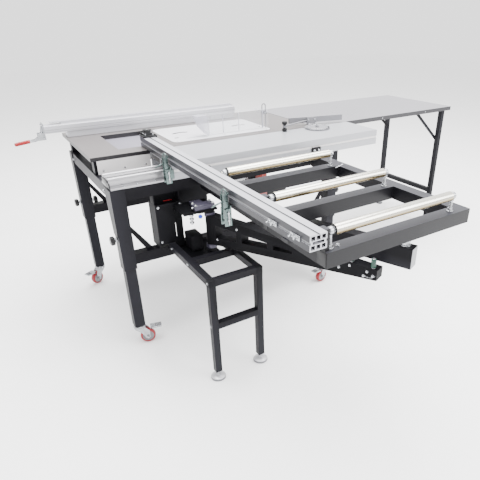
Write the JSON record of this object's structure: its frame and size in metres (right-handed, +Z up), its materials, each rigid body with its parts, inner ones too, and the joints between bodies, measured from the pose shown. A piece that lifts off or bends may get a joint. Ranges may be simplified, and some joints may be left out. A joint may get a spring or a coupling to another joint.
{
  "type": "panel saw",
  "caption": "Sliding-table panel saw on a wheeled dark tube frame, with an outrigger on rollers, crosscut and rip fences, swing arm, blade guard and a folding extension table.",
  "frame": {"origin": "on the floor under the middle of the machine's bounding box", "axes": "+Z up, +X along the cut towards the extension table, +Y towards the back of the machine"},
  "size_m": [2.7199, 1.938, 1.0345],
  "materials": {
    "dark_steel": "satin black powder coat",
    "table_top": "fine satin",
    "pale_plate": "satin",
    "white_plate": "satin",
    "aluminium": "brushed extrusion",
    "zinc": "zinc plated",
    "blade_steel": "ground",
    "roller": "satin tube",
    "red": "satin",
    "red_wheel": "polyurethane tread",
    "red_grip": "dipped grip",
    "black_plastic": "moulded",
    "clear": "clear acrylic",
    "green_plastic": "moulded"
  },
  "bodies": {
    "frame": {"front_frame": "dark_steel", "rear_frame": "dark_steel", "side_rails": "dark_steel", "main_table": "table_top", "recess_plate": "pale_plate", "insert_plate": "white_plate", "apron_panel": "white_plate", "guide_rail": "aluminium", "hinge_box": "dark_steel", "step_frame": "dark_steel", "step_feet": "zinc", "saw_mount": "dark_steel", "extension_table": "pale_plate"},
    "carriage": {"carriage": "aluminium", "outrigger_frame": "dark_steel", "roller_posts": "zinc", "latch_bases": "zinc"},
    "crosscut_fence": {"crosscut_fence": "aluminium"},
    "flip_stop": {"flip_stop": "black_plastic"},
    "mitre_gauge": {"mitre_gauge": "aluminium"},
    "clamp_knob": {"clamp_knob": "black_plastic"},
    "latch_lever_rear": {"latch_lever_rear": "zinc"},
    "latch_lever_front": {"latch_lever_front": "zinc"},
    "rip_fence": {"rip_fence": "aluminium", "toggle_clamp": "zinc"},
    "toggle_handle": {"toggle_handle": "red_grip"},
    "arm_outer": {"arm_outer": "dark_steel", "arm_rollers": "green_plastic"},
    "arm_inner": {"arm_inner": "dark_steel"},
    "saw_carrier": {"saw_carrier": "dark_steel", "motor": "red"},
    "spindle": {"arbor": "zinc", "saw_blade": "blade_steel"},
    "lift_screw": {"lift_screw": "zinc"},
    "blade_guard": {"blade_guard": "clear"},
    "extension_legs": {"extension_legs": "dark_steel"},
    "extension_braces": {"extension_braces": "dark_steel"},
    "roller_1": {"roller_1": "roller"},
    "roller_2": {"roller_2": "roller"},
    "roller_3": {"roller_3": "roller"},
    "inner_leg_front_left": {"inner_leg_front_left": "dark_steel"},
    "caster_fork_front_left": {"caster_fork_front_left": "zinc"},
    "caster_wheel_front_left": {"caster_wheel_front_left": "red_wheel"},
    "brake_pedal_front_left": {"brake_pedal_front_left": "zinc"},
    "leg_knob_front_left": {"leg_knob_front_left": "black_plastic"},
    "inner_leg_front_right": {"inner_leg_front_right": "dark_steel"},
    "caster_fork_front_right": {"caster_fork_front_right": "zinc"},
    "caster_wheel_front_right": {"caster_wheel_front_right": "red_wheel"},
    "brake_pedal_front_right": {"brake_pedal_front_right": "zinc"},
    "leg_knob_front_right": {"leg_knob_front_right": "black_plastic"},
    "inner_leg_rear_left": {"inner_leg_rear_left": "dark_steel"},
    "caster_fork_rear_left": {"caster_fork_rear_left": "zinc"},
    "caster_wheel_rear_left": {"caster_wheel_rear_left": "red_wheel"},
    "brake_pedal_rear_left": {"brake_pedal_rear_left": "zinc"},
    "leg_knob_rear_left": {"leg_knob_rear_left": "black_plastic"},
    "inner_leg_rear_right": {"inner_leg_rear_right": "dark_steel"},
    "caster_fork_rear_right": {"caster_fork_rear_right": "zinc"},
    "caster_wheel_rear_right": {"caster_wheel_rear_right": "red_wheel"},
    "brake_pedal_rear_right": {"brake_pedal_rear_right": "zinc"},
    "leg_knob_rear_right": {"leg_knob_rear_right": "black_plastic"}
  },
  "joints": [
    {"name": "carriage_slide", "type": "slide", "parent": "frame", "child": "carriage", "axis": [1, 0, 0], "range_m": [-0.24, 0.44]},
    {"name": "roller_1_spin", "type": "hinge", "parent": "carriage", "child": "roller_1", "pos_m": [-0.385, -0.8475, 0.881], "axis": [1, 0, 0], "continuous": true},
    {"name": "roller_2_spin", "type": "hinge", "parent": "carriage", "child": "roller_2", "pos_m": [-0.385, -0.4975, 0.881], "axis": [1, 0, 0], "continuous": true},
    {"name": "roller_3_spin", "type": "hinge", "parent": "carriage", "child": "roller_3", "pos_m": [-0.385, -0.1245, 0.881], "axis": [1, 0, 0], "continuous": true},
    {"name": "fence_mitre", "type": "hinge", "parent": "carriage", "child": "crosscut_fence", "pos_m": [-0.814, 0.3, 0.9], "axis": [0, 0, 1], "range_deg": [0, 45]},
    {"name": "flip_stop_slide", "type": "slide", "parent": "crosscut_fence", "child": "flip_stop", "axis": [0, -1, 0], "range_m": [0, 0.9]},
    {"name": "mitre_gauge_turn", "type": "hinge", "parent": "carriage", "child": "mitre_gauge", "pos_m": [0.13, 0.285, 0.9], "axis": [0, 0, 1], "range_deg": [-4, 30]},
    {"name": "clamp_knob_turn", "type": "hinge", "parent": "mitre_gauge", "child": "clamp_knob", "pos_m": [-0.07, 0.32, 0.9], "axis": [0, 0, 1], "continuous": true},
    {"name": "latch_rear_open", "type": "hinge", "parent": "carriage", "child": "latch_lever_rear", "pos_m": [-0.861, 0.06, 0.848], "axis": [0, 1, 0], "range_deg": [-115, 0]},
    {"name": "latch_front_open", "type": "hinge", "parent": "carriage", "child": "latch_lever_front", "pos_m": [-0.861, -0.497, 0.848], "axis": [0, 1, 0], "range_deg": [-115, 0]},
    {"name": "rip_fence_slide", "type": "slide", "parent": "frame", "child": "rip_fence", "axis": [0, 1, 0], "range_m": [-0.32, 0.06]},
    {"name": "toggle_handle_lift", "type": "hinge", "parent": "rip_fence", "child": "toggle_handle", "pos_m": [-1.236, 0.859, 0.908], "axis": [0, 1, 0], "range_deg": [0, 95]},
    {"name": "arm_swing", "type": "hinge", "parent": "frame", "child": "arm_outer", "pos_m": [-0.708, -0.02, 0.524], "axis": [0, 0, 1], "range_deg": [-40, 50]},
    {"name": "arm_telescope", "type": "slide", "parent": "arm_outer", "child": "arm_inner", "axis": [0.3716, -0.9284, 0], "range_m": [-0.22, 0.18]},
    {"name": "saw_lift", "type": "slide", "parent": "frame", "child": "saw_carrier", "axis": [0, 0, 1], "range_m": [0, 0.07]},
    {"name": "lift_screw_turn", "type": "hinge", "parent": "frame", "child": "lift_screw", "pos_m": [-0.145, 0.64, 0.52], "axis": [0, 0, 1], "range_deg": [0, 1260]},
    {"name": "spindle_spin", "type": "hinge", "parent": "saw_carrier", "child": "spindle", "pos_m": [-0.33, 0.468, 0.74], "axis": [0, 1, 0], "continuous": true},
    {"name": "guard_lift", "type": "hinge", "parent": "frame", "child": "blade_guard", "pos_m": [-0.114, 0.468, 0.985], "axis": [0, 1, 0], "range_deg": [0, 70]},
    {"name": "extension_leg_fold", "type": "hinge", "parent": "frame", "child": "extension_legs", "pos_m": [1.332, 0.656, 0.855], "axis": [0, 1, 0], "range_deg": [0, 90]},
    {"name": "extension_brace_fold", "type": "hinge", "parent": "frame", "child": "extension_braces", "pos_m": [1.1, 0.656, 0.865], "axis": [0, 1, 0], "range_deg": [0, 138]},
    {"name": "leg_extend_front_left", "type": "slide", "parent": "frame", "child": "inner_leg_front_left", "axis": [0, 0, -1], "range_m": [0, 0.15]},
    {"name": "caster_swivel_front_left", "type": "hinge", "parent": "inner_leg_front_left", "child": "caster_fork_front_left", "pos_m": [-1.073, 0.121, 0.104], "axis": [0, 0, 1], "continuous": true},
    {"name": "caster_roll_front_left", "type": "hinge", "parent": "caster_fork_front_left", "child": "caster_wheel_front_left", "pos_m": [-1.03919, 0.11194, 0.0375], "axis": [0.2588, 0.9659, 0], "continuous": true},
    {"name": "brake_press_front_left", "type": "hinge", "parent": "caster_fork_front_left", "child": "brake_pedal_front_left", "pos_m": [-1.01987, 0.10676, 0.084], "axis": [0.2588, 0.9659, 0], "range_deg": [0, 12]},
    {"name": "leg_knob_turn_front_left", "type": "hinge", "parent": "frame", "child": "leg_knob_front_left", "pos_m": [-1.073, 0.121, 0.58], "axis": [1, 0, 0], "continuous": true},
    {"name": "leg_extend_front_right", "type": "slide", "parent": "frame", "child": "inner_leg_front_right", "axis": [0, 0, -1], "range_m": [0, 0.15]},
    {"name": "caster_swivel_front_right", "type": "hinge", "parent": "inner_leg_front_right", "child": "caster_fork_front_right", "pos_m": [0.1, 0.121, 0.104], "axis": [0, 0, 1], "continuous": true},
    {"name": "caster_roll_front_right", "type": "hinge", "parent": "caster_fork_front_right", "child": "caster_wheel_front_right", "pos_m": [0.06553, 0.11492, 0.0375], "axis": [0.1736, -0.9848, 0], "continuous": true},
    {"name": "brake_press_front_right", "type": "hinge", "parent": "caster_fork_front_right", "child": "brake_pedal_front_right", "pos_m": [0.04584, 0.11145, 0.084], "axis": [0.1736, -0.9848, 0], "range_deg": [0, 12]},
    {"name": "leg_knob_turn_front_right", "type": "hinge", "parent": "frame", "child": "leg_knob_front_right", "pos_m": [0.1, 0.121, 0.582], "axis": [1, 0, 0], "continuous": true},
    {"name": "leg_extend_rear_left", "type": "slide", "parent": "frame", "child": "inner_leg_rear_left", "axis": [0, 0, -1], "range_m": [0, 0.15]},
    {"name": "caster_swivel_rear_left", "type": "hinge", "parent": "inner_leg_rear_left", "child": "caster_fork_rear_left", "pos_m": [-1.073, 0.877, 0.104], "axis": [0, 0, 1], "continuous": true},
    {"name": "caster_roll_rear_left", "type": "hinge", "parent": "caster_fork_rear_left", "child": "caster_wheel_rear_left", "pos_m": [-1.10361, 0.86003, 0.0375], "axis": [0.4848, -0.8746, 0], "continuous": true},
    {"name": "brake_press_rear_left", "type": "hinge", "parent": "caster_fork_rear_left", "child": "brake_pedal_rear_left", "pos_m": [-1.1211, 0.85033, 0.084], "axis": [0.4848, -0.8746, 0], "range_deg": [0, 12]},
    {"name": "leg_knob_turn_rear_left", "type": "hinge", "parent": "frame", "child": "leg_knob_rear_left", "pos_m": [-1.073, 0.877, 0.525], "axis": [1, 0, 0], "continuous": true},
    {"name": "leg_extend_rear_right", "type": "slide", "parent": "frame", "child": "inner_leg_rear_right", "axis": [0, 0, -1], "range_m": [0, 0.15]},
    {"name": "caster_swivel_rear_right", "type": "hinge", "parent": "inner_leg_rear_right", "child": "caster_fork_rear_right", "pos_m": [0.1, 0.877, 0.104], "axis": [0, 0, 1], "continuous": true},
    {"name": "caster_roll_rear_right", "type": "hinge", "parent": "caster_fork_rear_right", "child": "caster_wheel_rear_right", "pos_m": [0.06711, 0.88897, 0.0375], "axis": [-0.342, -0.9397, 0], "continuous": true},
    {"name": "brake_press_rear_right", "type": "hinge", "parent": "caster_fork_rear_right", "child": "brake_pedal_rear_right", "pos_m": [0.04832, 0.89581, 0.084], "axis": [-0.342, -0.9397, 0], "range_deg": [0, 12]},
    {"name": "leg_knob_turn_rear_right", "type": "hinge", "parent": "frame", "child": "leg_knob_rear_right", "pos_m": [0.1, 0.877, 0.525], "axis": [1, 0, 0], "continuous": true}
  ],
  "couplings": [
    {"joint": "lift_screw_turn", "follows": "saw_lift", "rad_per_m": 314.16},
    {"joint": "extension_brace_fold", "follows": "extension_leg_fold", "ratio": 1.5267}
  ]
}
